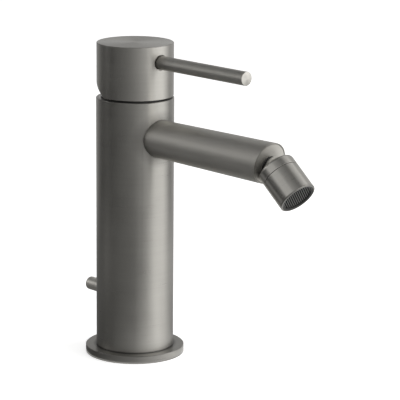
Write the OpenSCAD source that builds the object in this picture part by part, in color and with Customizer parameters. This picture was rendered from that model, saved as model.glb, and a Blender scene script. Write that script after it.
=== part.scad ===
// Single-lever bidet mixer: column with a flange foot, tilting handle cap with
// a straight lever, fixed spout with a swivelling aerator, rear pop-up knob.
// Millimetres. Z is up, the spout points along -Y, the origin lies on the
// column's axis where the foot meets the deck.

/* [Column] */
// Outside diameter of the column
column_d = 45; // [43:0.5:50]
// Wall thickness of the column
column_wall = 3; // [2.6:0.1:3.4]
// Height of the column's top edge above the deck
column_top = 151.6; // [146:0.1:175]

/* [Foot] */
// Diameter of the foot flange
flange_d = 57.5; // [54:0.5:66]
// Thickness of the foot flange
flange_h = 4.5; // [3.5:0.1:6]
// Radial width of the deck gasket
gasket_w = 4; // [2:0.1:4.5]
// Thickness of the deck gasket
gasket_h = 2; // [1:0.1:2.5]
// Height of the brass block that closes the foot
block_h = 16; // [12:0.5:20]
// Diameter of the fixing stud's threaded hole
stud_hole_d = 6.8; // [5:0.1:8]
// Diameter of each hose passage through the block
hose_hole_d = 11.6; // [10:0.1:12]
// Wall between each hose passage and the block's rim
hose_wall = 1.4; // [1:0.1:2]

/* [Valve body] */
// Height of the valve body below the cartridge's floor
valve_floor_h = 17.2; // [15:0.1:24]
// Diameter of the inlet threads
inlet_d = 9; // [8:0.1:9.5]
// Depth of the inlet threads
inlet_depth = 11; // [8:0.5:12]
// Diameter of the two inlet ducts
inlet_duct_d = 4.8; // [3:0.1:5]
// Diameter of the outlet duct
outlet_duct_d = 6; // [4:0.1:6.2]

/* [Cartridge] */
// Wall of the valve body round the 35 mm cartridge
body_wall = 1.8; // [1.6:0.1:2.2]
// Wall of the cartridge housing
cartridge_wall = 1.9; // [1.4:0.1:2.2]
// Diameter of the rotor's neck
rotor_d = 22; // [20:0.1:23]
// Wall of the housing's collar round the rotor's neck
collar_wall = 2.3; // [1.6:0.1:2.6]
// Height of the rotor's neck above the tilt pivot
neck_rise = 6.1; // [5:0.1:6.4]
// Depth of the housing's shoulder below the tilt pivot
shoulder_drop = 4.7; // [4.4:0.1:5.5]
// Thickness of the rotor's flange
rotor_flange_h = 2; // [1.5:0.1:2.5]
// Thickness of the disc carrier's plate
carrier_h = 2.2; // [1.8:0.1:2.8]
// Thickness of each ceramic disc
disc_h = 3.5; // [3:0.1:4.5]
// Diameter of the moving ceramic disc
moving_disc_d = 23.2; // [21:0.1:23.6]
// Thickness of the cartridge's base
cartridge_base_h = 4.6; // [3.6:0.1:6]
// Height of the cartridge nut
nut_h = 3.5; // [2.8:0.1:3.6]
// Diameter of the round end of the stem that drives the carrier
stem_ball_d = 4.4; // [3.6:0.1:4.8]
// Distance from the tilt pivot to the centre of that round end
stem_arm = 8.2; // [8:0.1:8.6]
// Side of the square stem
stem_side = 8; // [7:0.1:8.4]
// Diameter of the tilt pin
tilt_pin_d = 2.5; // [2:0.1:3]

/* [Handle] */
// How far the cap's side stands back from the column's side
cap_inset = 0.3; // [0:0.05:0.6]
// Height of the handle cap
cap_h = 30.6; // [29.6:0.1:38]
// Wall of the handle cap
cap_wall = 1.85; // [1.6:0.05:2.2]
// Gap between the column's top edge and the cap
cap_gap = 1.2; // [0.8:0.1:2]
// Slope of the cut at the back of the cap
notch_angle = 32.6; // [30:0.2:38]
// Distance behind the axis at which that cut starts
notch_start = 1.7; // [1:0.1:2.4]
// Diameter of the lever rod
lever_d = 7.9; // [6:0.1:9]
// Depth of the lever's axis below the top of the cap
lever_drop = 9.3; // [8.6:0.1:10]
// Distance from the column's axis to the lever's tip
lever_reach = 91.6; // [60:0.2:130]

/* [Spout] */
// Height of the spout's axis above the deck
spout_z = 130.1; // [128:0.1:130.6]
// Distance from the column's axis to the middle of the spout's end face
spout_reach = 110.2; // [80:0.2:160]
// Diameter of the spout where it leaves the column
spout_root_d = 21.9; // [20.4:0.1:22.6]
// Diameter of the spout at its end
spout_tip_d = 23.4; // [22.8:0.1:25]
// Diameter of the spout's bore
spout_bore_d = 17.4; // [15:0.1:17.8]
// Downward tilt of the spout's end face
face_tilt = 12.3; // [0:0.1:14]

/* [Aerator] */
// Diameter of the swivel ball
ball_d = 14.4; // [13.6:0.1:14.8]
// Diameter of the ball's neck
neck_d = 7.8; // [6:0.1:8]
// Distance of the neck below the middle of the end face
neck_drop = 1; // [0:0.1:2]
// Distance from the end face to the centre of the ball
ball_reach = 6.3; // [6.2:0.1:9]
// Angle of the aerator below the horizontal
head_angle = 39.5; // [20:0.1:39.6]
// Diameter of the aerator
head_d = 21.5; // [21:0.1:21.8]
// Distance from the ball's centre back to the collar's rear face
collar_back = 2.2; // [1.8:0.1:2.4]
// Distance from the ball's centre forward to the seam
seam_reach = 4.2; // [3.4:0.1:5]
// Length of the aerator's housing
housing_l = 16.7; // [15.6:0.1:22]
// Thickness of one rib of the aerator's insert
rib_t = 0.5; // [0.3:0.05:0.7]
// Spacing of the ribs
rib_pitch = 1.15; // [1:0.05:2]

/* [Pop-up knob] */
// Height of the knob's axis above the deck
knob_z = 32.8; // [31:0.1:60]
// Diameter of the knob
knob_d = 7.9; // [6:0.1:8]
// Distance from the column's axis to the knob's end
knob_reach = 40.5; // [32:0.1:60]
// Distance of the rocker's pivot behind the column's axis
rocker_pivot_y = 8; // [7.6:0.1:8.4]
// Distance of the lift rod before the column's axis
lift_rod_y = 9; // [8.4:0.1:10]
// Diameter of the lift rod
lift_rod_d = 5; // [4:0.1:5.6]
// Diameter of the rocker's pin
rocker_pin_d = 3; // [2:0.1:3.6]
// Travel of the rocker up and down
rocker_swing = 12; // [6:0.5:13]

/* [Hidden] */
$fn = 72;

// Clearances and small features shared by many pieces
eps = 0.05;            // fixed pieces that lie face to face
run = 0.08;            // running fit, on the radius
slack = 0.1;           // loose fit, on the radius
edge = 0.3;            // small edge chamfer
fine_edge = 0.1;       // chamfer of an edge that faces a seam
play = 0.3;            // play between linked moving pieces
past = 1;              // how far a cutter runs past the solid

// Colours
metal = [0.46, 0.45, 0.43];
bright = [0.80, 0.80, 0.79];
brass = [0.72, 0.60, 0.36];
black = [0.10, 0.10, 0.10];
white = [0.88, 0.88, 0.84];
grey = [0.55, 0.56, 0.58];
steel = [0.66, 0.67, 0.68];

// Column and foot
column_r = column_d / 2;
bore_r = column_r - column_wall;
block_r = bore_r - slack;
flange_r = flange_d / 2;
hose_x = block_r - hose_wall - hose_hole_d / 2;
gasket_shift = 2;
gasket_mid_r = (column_r + flange_r) / 2 - gasket_shift;

// Cartridge stack, from the tilt pivot downwards
pivot_rise = 0.1;
pivot_z = column_top + pivot_rise;
neck_top = pivot_z + neck_rise;
shoulder_z = pivot_z - shoulder_drop;
cartridge_r = block_r - body_wall - slack;
chamber_r = cartridge_r - cartridge_wall;
ceiling_t = 1.6;
ceiling_z = shoulder_z - ceiling_t;
flange_top = ceiling_z - slack;
flange_low = flange_top - rotor_flange_h;
carrier_top = flange_low - slack;
carrier_low = carrier_top - carrier_h;
moving_top = carrier_low - eps;
moving_low = moving_top - disc_h;
fixed_top = moving_low - eps;
fixed_low = fixed_top - disc_h;
base_top = fixed_low - eps;
base_low = base_top - cartridge_base_h;
floor_z = base_low - eps;
valve_low = floor_z - valve_floor_h;
rotor_r = rotor_d / 2;
collar_in = rotor_r + slack;
collar_out = collar_in + collar_wall;
lug_x = 10.5;
boss_r = 3.9;
boss_drop = 6.5;
socket_play = 0.3;
lift_max = 25;
disc_travel = stem_arm * sin(lift_max);
slot_play = 0.25;
slot_x = stem_side / 2 + 2 * slack;
slot_y = boss_r + disc_travel + slot_play;
rotor_play = 0.2;
collar_over = 0.2;
pin_inset = 0.3;
pocket_w = 5.2;
disc_port_step = 0.3;
port_x = 6.6;
port_y = 5.2;
outlet_y = 7.4;
port_r = inlet_duct_d / 2;
outlet_r = outlet_duct_d / 2;
duct_step = 0.3;
duct_z = spout_z - spout_bore_d / 2 + outlet_r + duct_step;
duct_lap = 1;
seal_r = 0.9;
seal_mid_r = block_r + slack - seal_r - eps / 2;
seal_rise = 5;
seal_z = valve_low + seal_rise;
seal_w = 1.2;
seal_h = 1.1;

// Nut and dome
nut_low = shoulder_z + eps;
nut_top = nut_low + nut_h;
nut_slot_w = 3;
nut_slot_gap = 2.5;
cap_r = column_r - cap_inset;
cap_bore_r = cap_r - cap_wall;
dome_play = 0.45;
dome_r = cap_bore_r - dome_play;
dome_t = 1.3;
dome_rise = 8;
dome_hole_r = 13;

// Handle
cap_low = column_top + cap_gap;
cap_top = cap_low + cap_h;
lever_r = lever_d / 2;
lever_z = cap_top - lever_drop;
lever_root = 10;
lever_floor = 2.1;
sink_w = 0.55;
sink_depth = 1.6;
cap_ceiling = lever_z - lever_r - lever_floor;
stem_boss_r = 7;
stem_boss_rise = 12;
stem_boss_low = pivot_z + stem_boss_rise;
stem_foot = 3.2;
stem_over = 0.3;
stem_top = lever_z + stem_over;
stem_neck_d = 3.2;
screw_drop = 3.1;
screw_z = stem_top - screw_drop;
screw_r = 2.4;
screw_l = 6;
hex_r = 1.3;
hex_depth = 2.5;
cover_r = 3.2;
cover_t = 2.1;
cover_inset = 0.35;

// Spout and its end
root_r = spout_root_d / 2;
tip_r = spout_tip_d / 2;
spout_in_r = spout_bore_d / 2;
root_l = 1.5;
flare_start = column_r + root_l;
plug_l = 8;
plug_lip = 0.4;
plug_r = tip_r - plug_lip - eps;
plug_groove = 0.3;
plug_groove_depth = 1;
plug_inset = 0.15;
plug_seal_r = 0.7;
plug_seal_back = 5.4;
recess_w = 1.3;
recess_r = neck_d / 2 + recess_w;
recess_depth = 3;
neck_over = 0.5;
ring_stand = 0.3;

// Swivel head, measured from the ball's centre along the aerator's axis
ball_r = ball_d / 2;
neck_r = neck_d / 2;
neck_bore_r = 2.2;
head_r = head_d / 2;
collar_gap = 0.12;
swing = head_angle - face_tilt;
collar_round_min = 0.4;
collar_round_max = 4;
// The collar's rear edge is rounded as far as it must be to pass the spout's end face
collar_room = ball_reach - collar_gap - collar_back * cos(swing) - head_r * sin(swing);
collar_round = min(collar_round_max, max(collar_round_min, collar_room / (1 - cos(swing) - sin(swing))));
seam_gap = 0.3;
collar_front = seam_reach - seam_gap / 2;
housing_back = seam_reach + seam_gap / 2;
mouth = seam_reach + housing_l;
seat_wall = 0.9;
seat_r = ball_r + seat_wall;
seat_bore_r = 3.2;
seat_back = 0.4;
seat_over = 1.3;
seat_end = ball_r + seat_over;
socket_back = 0.2;
spigot_wall = 1.3;
spigot_in = seat_r + slack;
spigot_out = spigot_in + spigot_wall;
spigot_over = 2.4;
spigot_end = ball_r + spigot_over;
seam_edge = 0.15;
mouth_edge = 0.45;
lip_edge = 0.2;
web_gap = 0.3;
web_back = spigot_end + web_gap;
web_t = 1.5;
web_hole_r = 6;
seat_gasket_step = 0.4;
seat_gasket_r = 5;
gasket_t = 0.9;
mouth_wall = 1.05;
insert_r = head_r - mouth_wall - slack;
insert_wall = 0.9;
insert_floor_t = 1.2;
insert_inset = 0.3;
insert_back = web_back + web_t + gasket_t + 2 * eps;
insert_front = mouth - insert_inset;
rib_inset = 0.6;
rib_front = insert_front - rib_inset;
rib_l = 1.6;
rib_n = floor((insert_r - insert_wall) / rib_pitch);

// Pop-up linkage
knob_r = knob_d / 2;
knob_edge = 0.8;
spigot_r = 1.45;
spigot_l = 5.8;
fork_in = lift_rod_d / 2 + play;
fork_t = 2.4;
fork_out = fork_in + fork_t;
fork_half = 2.8;
fork_over = 2.6;
fork_tip = lift_rod_y + fork_over;
fork_slot = 0.4;
hub_r = 3.9;
ear_t = 1.8;
ear_in = fork_out + play;
ear_out = ear_in + ear_t;
ear_half = 3;
lift_pin_r = 1.2;
lift_rod_low = 4;
lift_rod_over = 3.8;
lift_rod_top = knob_z + lift_rod_over;
window_play = 0.4;
window_x = knob_r + window_play;
window_z = knob_r / cos(rocker_swing) + (column_r - rocker_pivot_y) * tan(rocker_swing) + window_play;

// A cylinder along +Y or -Y from y0 to y1 at height z
module rod_y(r, y0, y1, z, x = 0)
  translate([x, min(y0, y1), z]) rotate([-90, 0, 0]) cylinder(r = r, h = abs(y1 - y0));

// A cylinder along X, centred on x = 0
module rod_x(r, l, y, z)
  translate([-l / 2, y, z]) rotate([0, 90, 0]) cylinder(r = r, h = l);

// A straight duct between two points
module duct(a, b, r) {
  d = b - a;
  translate(a) rotate([0, acos(d.z / norm(d)), atan2(d.y, d.x)]) cylinder(r = r, h = norm(d));
}

// A flat ring with its lower face at z
module ring(r_out, r_in, z, h)
  translate([0, 0, z]) difference() {
    cylinder(r = r_out, h = h);
    translate([0, 0, -past]) cylinder(r = r_in, h = h + 2 * past);
  }

// A round rubber ring whose section has radius r, centred at height z
module o_ring(mid_r, r, z)
  translate([0, 0, z]) rotate_extrude() translate([mid_r, 0]) circle(r = r, $fn = 24);

// A disc with a chamfer c0 at its lower edge and c1 at its upper edge
module chamfered(r, h, c0, c1)
  rotate_extrude() polygon([[0, 0], [r - c0, 0], [r, c0], [r, h - c1], [r - c1, h], [0, h]]);

// The frame of the spout's end face: Z leaves the face, Y points up it
module face_frame()
  translate([0, -spout_reach, spout_z]) rotate([90 + face_tilt, 0, 0]) children();

// The same frame, moved to the axis of the ball's neck
module neck_frame() face_frame() translate([0, -neck_drop, 0]) children();

// The frame of the aerator: origin in the ball's centre, Z along its axis
module head_frame()
  neck_frame() translate([0, 0, ball_reach]) rotate([head_angle - face_tilt, 0, 0]) children();

// Everything that lies behind the spout's end face, less a set-back
module behind_face(back)
  face_frame() translate([-2 * tip_r, -spout_reach, -back - 2 * spout_reach])
    cube([4 * tip_r, 2 * spout_reach, 2 * spout_reach]);

// Foot and column

module base_flange()
  color(metal) difference() {
    chamfered(flange_r, flange_h, 0, edge);
    translate([0, 0, -past]) cylinder(r = block_r + eps, h = flange_h + 2 * past);
    ring(gasket_mid_r + gasket_w / 2 + slack, gasket_mid_r - gasket_w / 2 - slack, -past,
         gasket_h + past + slack);
  }

module base_gasket()
  color(black) ring(gasket_mid_r + gasket_w / 2, gasket_mid_r - gasket_w / 2, 0, gasket_h);

module base_block()
  color(brass) difference() {
    cylinder(r = block_r, h = block_h);
    translate([0, 0, -past]) cylinder(d = stud_hole_d, h = block_h + 2 * past);
    for (x = [-hose_x, hose_x]) translate([x, 0, -past]) cylinder(d = hose_hole_d, h = block_h + 2 * past);
    translate([0, -lift_rod_y, -past]) cylinder(r = lift_rod_d / 2 + slack, h = block_h + 2 * past);
  }

module column_tube()
  color(metal) difference() {
    translate([0, 0, flange_h]) chamfered(column_r, column_top - flange_h, 0, edge);
    translate([0, 0, flange_h - past]) cylinder(r = bore_r, h = column_top - flange_h + 2 * past);
    rod_y(root_r + eps, -bore_r + 2 * column_wall, -column_r - past, spout_z);
    translate([-window_x, 0, knob_z - window_z]) cube([2 * window_x, column_r + past, 2 * window_z]);
  }

// The two ears stand on the block and carry the rocker's pin
module rocker_bracket()
  color(brass) difference() {
    for (x = [-ear_out, ear_in])
      translate([x, rocker_pivot_y - ear_half, block_h + eps])
        cube([ear_t, 2 * ear_half, knob_z + ear_half - block_h]);
    rod_x(rocker_pin_d / 2 + eps / 2, 2 * ear_out + 2 * past, rocker_pivot_y, knob_z);
  }

module rocker_pin()
  color(steel) rod_x(rocker_pin_d / 2, 2 * (ear_out - slack), rocker_pivot_y, knob_z);

// Valve body with its waterways
module valve_body()
  color(brass) difference() {
    translate([0, 0, valve_low]) cylinder(r = block_r, h = shoulder_z - valve_low);
    translate([0, 0, floor_z]) cylinder(r = cartridge_r + slack, h = shoulder_z - floor_z + past);
    for (x = [-1, 1]) {
      translate([x * hose_x, 0, valve_low - past]) cylinder(d = inlet_d, h = inlet_depth + past);
      duct([x * (hose_x - duct_lap), duct_lap, valve_low + inlet_depth - duct_lap],
           [x * port_x, port_y, floor_z + past], port_r);
    }
    translate([0, -outlet_y, duct_z]) cylinder(r = outlet_r, h = floor_z - duct_z + past);
    rod_y(outlet_r, -outlet_y, -column_r, duct_z);
    o_ring(seal_mid_r, seal_r + slack, seal_z);
  }

module valve_body_seal()
  color(black) o_ring(seal_mid_r, seal_r, seal_z);

// Cartridge
module port_holes(grow, z, h) {
  for (x = [-port_x, port_x]) translate([x, port_y, z]) cylinder(r = port_r + grow, h = h);
  translate([0, -outlet_y, z]) cylinder(r = outlet_r + grow, h = h);
}

module cartridge_base()
  color(white) difference() {
    translate([0, 0, base_low]) cylinder(r = cartridge_r, h = cartridge_base_h);
    port_holes(0, base_low - past, cartridge_base_h + 2 * past);
    port_holes(seal_w, base_low - past, seal_h + past + slack);
  }

module port_seals()
  color(black) difference() {
    port_holes(seal_w - slack, base_low, seal_h);
    port_holes(0, base_low - past, seal_h + 2 * past);
  }

module cartridge_housing()
  color(white) difference() {
    union() {
      translate([0, 0, base_top + eps]) cylinder(r = cartridge_r, h = shoulder_z - base_top - eps);
      translate([0, 0, shoulder_z - past])
        cylinder(r = collar_out, h = neck_top + collar_over - shoulder_z + past);
    }
    translate([0, 0, base_top - past]) cylinder(r = chamber_r, h = ceiling_z - base_top + past);
    translate([0, 0, base_top]) cylinder(r = collar_in, h = neck_top - base_top + past);
  }

module fixed_disc()
  color(grey) difference() {
    translate([0, 0, fixed_low]) cylinder(r = chamber_r - slack, h = disc_h);
    port_holes(-disc_port_step, fixed_low - past, disc_h + 2 * past);
  }

// The moving disc's underside has the pocket that joins the ports
module moving_disc()
  color(grey) difference() {
    translate([0, 0, moving_low]) cylinder(d = moving_disc_d, h = disc_h);
    translate([-port_x, -pocket_w / 2, moving_low - past]) cube([2 * port_x, pocket_w, disc_h / 2 + past]);
    for (x = [-port_x, port_x]) translate([x, 0, moving_low - past])
      cylinder(d = pocket_w, h = disc_h / 2 + past);
  }

module disc_carrier()
  color(white) difference() {
    union() {
      intersection() {
        translate([0, 0, carrier_low]) cylinder(d = moving_disc_d, h = carrier_h);
        translate([-lug_x, -moving_disc_d, carrier_low]) cube([2 * lug_x, 2 * moving_disc_d, carrier_h]);
      }
      translate([0, 0, carrier_low]) cylinder(r = boss_r, h = pivot_z - boss_drop - carrier_low);
    }
    translate([0, 0, carrier_low - past]) cylinder(d = stem_ball_d + socket_play, h = pivot_z - carrier_low);
  }

// The rotor turns in the housing; its lugs take the carrier round with it
module cartridge_rotor()
  color(white) difference() {
    union() {
      translate([0, 0, flange_low]) cylinder(r = chamber_r - rotor_play, h = rotor_flange_h);
      translate([0, 0, flange_low]) cylinder(r = rotor_r, h = neck_top - flange_low);
      intersection() {
        translate([0, 0, carrier_low + slack]) cylinder(r = chamber_r - rotor_play, h = carrier_h + slack);
        for (x = [-1, 1]) translate([x * (lug_x + slack + lug_x / 2), 0, carrier_top])
          cube([lug_x, moving_disc_d, 4 * carrier_h], center = true);
      }
    }
    translate([-slot_x, -slot_y, carrier_low]) cube([2 * slot_x, 2 * slot_y, neck_top]);
    rod_x(tilt_pin_d / 2 + eps / 2, 2 * rotor_r + 2 * past, 0, pivot_z);
  }

module tilt_pin()
  color(steel) rod_x(tilt_pin_d / 2, 2 * (rotor_r - pin_inset), 0, pivot_z);

module stem()
  color(brass) difference() {
    union() {
      translate([-stem_side / 2, -stem_side / 2, pivot_z - stem_foot])
        cube([stem_side, stem_side, stem_top - pivot_z + stem_foot]);
      translate([0, 0, pivot_z - stem_arm]) cylinder(d = stem_neck_d, h = stem_arm);
      translate([0, 0, pivot_z - stem_arm]) sphere(d = stem_ball_d);
    }
    rod_x(tilt_pin_d / 2 + eps, 2 * stem_side, 0, pivot_z);
  }

module cartridge_nut()
  color(brass) difference() {
    ring(block_r, collar_out + slack, nut_low, nut_h);
    for (i = [0 : 5]) rotate(60 * i)
      translate([collar_out + nut_slot_gap, -nut_slot_w / 2, nut_top - nut_slot_w / 2])
        cube([block_r, nut_slot_w, nut_slot_w]);
  }

// The dome is centred on the tilt pivot, so that the cap swings round it
module dome_ring()
  color(bright) difference() {
    union() {
      intersection() {
        translate([0, 0, pivot_z]) sphere(r = dome_r);
        translate([0, 0, column_top + eps / 2]) cylinder(r = dome_r, h = pivot_z - column_top + dome_rise);
      }
      translate([0, 0, nut_top + eps]) cylinder(r = block_r - slack, h = column_top - nut_top);
    }
    translate([0, 0, nut_top - past]) cylinder(r = block_r - dome_t, h = column_top - nut_top + past);
    intersection() {
      translate([0, 0, pivot_z]) sphere(r = dome_r - dome_t);
      translate([0, 0, column_top - past])
        cylinder(r = block_r - dome_t, h = past + pivot_z - column_top + dome_rise - dome_t);
    }
    translate([0, 0, nut_top]) cylinder(r = dome_hole_r, h = dome_r);
  }

// Handle
module handle_cap()
  color(metal) difference() {
    translate([0, 0, cap_low]) chamfered(cap_r, cap_h, fine_edge, edge);
    difference() {
      translate([0, 0, cap_low - past]) cylinder(r = cap_bore_r, h = cap_ceiling - cap_low + past);
      translate([0, 0, stem_boss_low]) cylinder(r = stem_boss_r, h = cap_h);
    }
    translate([-column_d, 0, cap_low]) rotate([90, 0, 90]) linear_extrude(2 * column_d)
      polygon([[notch_start - past / tan(notch_angle), -past],
               [column_d, (column_d - notch_start) * tan(notch_angle)], [column_d, -past]]);
    translate([-stem_side / 2 - slack, -stem_side / 2 - slack, stem_boss_low - past])
      cube([stem_side + 2 * slack, stem_side + 2 * slack, stem_top + slack - stem_boss_low + past]);
    rod_y(lever_r + eps, -lever_root + slack, -column_d, lever_z);
    rod_y(lever_r + sink_w, -cap_r + sink_depth, -column_d, lever_z);
    rod_y(screw_r + eps, 0, column_d, screw_z);
    rod_y(cover_r + eps, cap_r - cover_t - cover_inset - eps, column_d, screw_z);
  }

module grub_screw()
  color(steel) difference() {
    rod_y(screw_r, stem_side / 2 + eps, stem_side / 2 + eps + screw_l, screw_z);
    translate([0, stem_side / 2 + screw_l - hex_depth, screw_z]) rotate([-90, 0, 0])
      cylinder(r = hex_r, h = hex_depth + past, $fn = 6);
  }

module screw_cover()
  color(black) rod_y(cover_r, cap_r - cover_t - cover_inset, cap_r - cover_inset, screw_z);

module lever_rod()
  color(metal) translate([0, -lever_root, lever_z]) rotate([90, 0, 0])
    chamfered(lever_r, lever_reach - lever_root, fine_edge, edge);

// Spout
module spout_tube()
  color(metal) difference() {
    intersection() {
      union() {
        rod_y(root_r, 0, -flare_start, spout_z);
        translate([0, -flare_start, spout_z]) rotate([90, 0, 0])
          cylinder(r1 = root_r, r2 = tip_r, h = spout_reach - flare_start);
        rod_y(tip_r, -spout_reach, -spout_reach - tip_r, spout_z);
      }
      behind_face(0);
    }
    rod_y(spout_in_r, past, -spout_reach - tip_r, spout_z);
    translate([0, 0, spout_z - 2 * tip_r]) cylinder(r = block_r + eps, h = 4 * tip_r);
    rod_y(tip_r - plug_lip, -spout_reach + plug_l, -spout_reach - tip_r, spout_z);
  }

module spout_plug()
  color(metal) difference() {
    union() {
      intersection() {
        rod_y(plug_r, -spout_reach + plug_l - eps, -spout_reach - tip_r, spout_z);
        behind_face(plug_groove_depth);
      }
      intersection() {
        rod_y(plug_r - plug_groove, -spout_reach + plug_l - eps, -spout_reach - tip_r, spout_z);
        behind_face(plug_inset);
      }
    }
    neck_frame() translate([0, 0, -recess_depth]) cylinder(r = recess_r, h = 2 * recess_depth);
    neck_frame() translate([0, 0, -4 * plug_l]) cylinder(r = neck_r + eps, h = 8 * plug_l);
    plug_groove_ring(slack);
  }

// The seal's round section, grown by a clearance to cut its groove
module plug_groove_ring(grow)
  translate([0, -spout_reach + plug_seal_back, spout_z]) rotate([90, 0, 0]) rotate_extrude()
    translate([plug_r - plug_seal_r - eps, 0]) circle(r = plug_seal_r + grow, $fn = 24);

module plug_seal()
  color(black) plug_groove_ring(0);

// The ball stands on a hollow neck that is screwed into the plug
module ball_neck()
  color(steel) neck_frame() difference() {
    union() {
      translate([0, 0, -plug_l - neck_over]) cylinder(r = neck_r, h = plug_l + neck_over + ball_reach);
      translate([0, 0, ball_reach]) sphere(r = ball_r);
    }
    translate([0, 0, -2 * plug_l]) cylinder(r = neck_bore_r, h = 2 * plug_l + ball_reach + ball_d);
  }

module neck_ring()
  color(black) neck_frame()
    ring(recess_r - run, neck_r + run, -recess_depth + slack, recess_depth - slack + ring_stand);

// Swivel head
module ball_seat()
  color(white) head_frame() difference() {
    translate([0, 0, seat_back]) cylinder(r = seat_r, h = seat_end - seat_back);
    sphere(r = ball_r + run);
    cylinder(r = seat_bore_r, h = 2 * ball_d);
  }

module aerator_collar()
  color(metal) head_frame() difference() {
    union() {
      rotate_extrude() translate([0, -collar_back]) {
        square([head_r - collar_round, collar_front + collar_back]);
        translate([0, collar_round]) square([head_r, collar_front + collar_back - collar_round]);
        translate([head_r - collar_round, collar_round]) circle(r = collar_round);
      }
      cylinder(r = spigot_out, h = spigot_end);
    }
    sphere(r = ball_r + run);
    translate([0, 0, socket_back]) cylinder(r = spigot_in, h = 2 * ball_d);
  }

module aerator_housing()
  color(metal) head_frame() difference() {
    translate([0, 0, housing_back]) chamfered(head_r, mouth - housing_back, seam_edge, mouth_edge);
    translate([0, 0, housing_back - past])
      cylinder(r = spigot_out + slack, h = web_back - housing_back + past);
    cylinder(r = web_hole_r, h = 2 * mouth);
    translate([0, 0, web_back + web_t]) cylinder(r = insert_r + slack, h = mouth);
    translate([0, 0, mouth - lip_edge])
      cylinder(r1 = insert_r + slack, r2 = insert_r + slack + lip_edge, h = lip_edge);
    translate([0, 0, mouth - eps]) cylinder(r = insert_r + slack + lip_edge, h = past);
  }

module seat_gasket()
  color(black) head_frame()
    ring(seat_r - seat_gasket_step, seat_gasket_r, seat_end + slack, web_back - seat_end - slack - eps);

module aerator_gasket()
  color(black) head_frame() ring(insert_r, web_hole_r, web_back + web_t + eps, gasket_t);

// The ribs cross the insert's mouth from wall to wall
module aerator_insert()
  color(black) head_frame() union() {
    ring(insert_r, insert_r - insert_wall, insert_back, insert_front - insert_back);
    ring(insert_r - insert_wall + eps, neck_bore_r, insert_back, insert_floor_t);
    intersection() {
      cylinder(r = insert_r - insert_wall / 2, h = mouth);
      for (i = [-rib_n : rib_n]) translate([i * rib_pitch - rib_t / 2, -insert_r, rib_front - rib_l])
        cube([rib_t, 2 * insert_r, rib_l]);
    }
  }

// Pop-up linkage
module popup_knob()
  color(metal) difference() {
    translate([0, rocker_pivot_y + hub_r + eps, knob_z]) rotate([-90, 0, 0])
      chamfered(knob_r, knob_reach - rocker_pivot_y - hub_r - eps, fine_edge, knob_edge);
    rod_y(spigot_r + eps, rocker_pivot_y, rocker_pivot_y + hub_r + spigot_l + 2 * slack, knob_z);
  }

// The fork turns on the rocker's pin; its tines hold the lift rod's pin
module rocker_fork()
  color(brass) difference() {
    union() {
      rod_x(hub_r, 2 * fork_out, rocker_pivot_y, knob_z);
      rod_y(spigot_r, rocker_pivot_y, rocker_pivot_y + hub_r + spigot_l, knob_z);
      for (x = [-fork_out, fork_in])
        translate([x, -fork_tip, knob_z - fork_half])
          cube([fork_t, fork_tip + rocker_pivot_y, 2 * fork_half]);
    }
    rod_x(rocker_pin_d / 2 + run, 4 * fork_out, rocker_pivot_y, knob_z);
    for (y = [-fork_slot, fork_slot]) rod_x(lift_pin_r + slack, 4 * fork_out, y - lift_rod_y, knob_z);
    translate([-2 * fork_out, -lift_rod_y - fork_slot, knob_z - lift_pin_r - slack])
      cube([4 * fork_out, 2 * fork_slot, 2 * (lift_pin_r + slack)]);
  }

module lift_rod()
  color(steel) difference() {
    translate([0, -lift_rod_y, lift_rod_low]) cylinder(d = lift_rod_d, h = lift_rod_top - lift_rod_low);
    rod_x(lift_pin_r + eps / 2, 2 * lift_rod_d, -lift_rod_y, knob_z);
  }

module lift_pin()
  color(steel) rod_x(lift_pin_r, 2 * fork_out, -lift_rod_y, knob_z);

base_flange();
base_gasket();
base_block();
column_tube();
valve_body();
valve_body_seal();
cartridge_base();
port_seals();
cartridge_housing();
fixed_disc();
cartridge_nut();
dome_ring();
spout_tube();
spout_plug();
plug_seal();
ball_neck();
rocker_bracket();
rocker_pin();
cartridge_rotor();
tilt_pin();
moving_disc();
disc_carrier();
stem();
handle_cap();
grub_screw();
screw_cover();
lever_rod();
neck_ring();
ball_seat();
aerator_collar();
aerator_housing();
aerator_insert();
aerator_gasket();
seat_gasket();
popup_knob();
rocker_fork();
lift_rod();
lift_pin();
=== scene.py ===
"""Looks of a single-lever bidet mixer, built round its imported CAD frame."""

import math

import bmesh
import bpy
from bpy.props import FloatProperty, FloatVectorProperty, IntProperty, PointerProperty
from mathutils import Matrix, Vector


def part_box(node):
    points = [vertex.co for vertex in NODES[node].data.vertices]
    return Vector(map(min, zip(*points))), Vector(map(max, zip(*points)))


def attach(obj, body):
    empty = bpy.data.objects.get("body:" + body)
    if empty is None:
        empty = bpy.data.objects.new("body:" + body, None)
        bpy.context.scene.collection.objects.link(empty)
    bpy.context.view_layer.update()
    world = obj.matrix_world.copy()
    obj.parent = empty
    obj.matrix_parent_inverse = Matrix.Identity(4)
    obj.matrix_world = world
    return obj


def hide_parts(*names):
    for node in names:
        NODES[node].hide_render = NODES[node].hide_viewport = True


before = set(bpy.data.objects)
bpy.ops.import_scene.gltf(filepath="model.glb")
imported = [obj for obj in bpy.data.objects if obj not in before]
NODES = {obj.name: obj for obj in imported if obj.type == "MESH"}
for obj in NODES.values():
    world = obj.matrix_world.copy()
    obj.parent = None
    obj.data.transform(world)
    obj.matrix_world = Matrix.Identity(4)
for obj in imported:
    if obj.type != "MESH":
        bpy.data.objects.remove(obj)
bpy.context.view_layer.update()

bl_info = {
    "name": "Bidet mixer looks",
    "version": (1, 0, 0),
    "blender": (4, 5, 0),
    "location": "View3D > Sidebar > Mixer",
    "description": "Dresses the packed bidet mixer and sets up its studio",
    "category": "Object",
}

MM = 0.001
QUARTER = math.radians(90)
# Steps round a large turned piece, round the insert and round a small moulding
AROUND = 128
AROUND_INSERT = 96
AROUND_SMALL = 64
# How much slimmer the spout's radius is at its root than at its end
SPOUT_FLARE = 0.75 * MM
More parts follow.
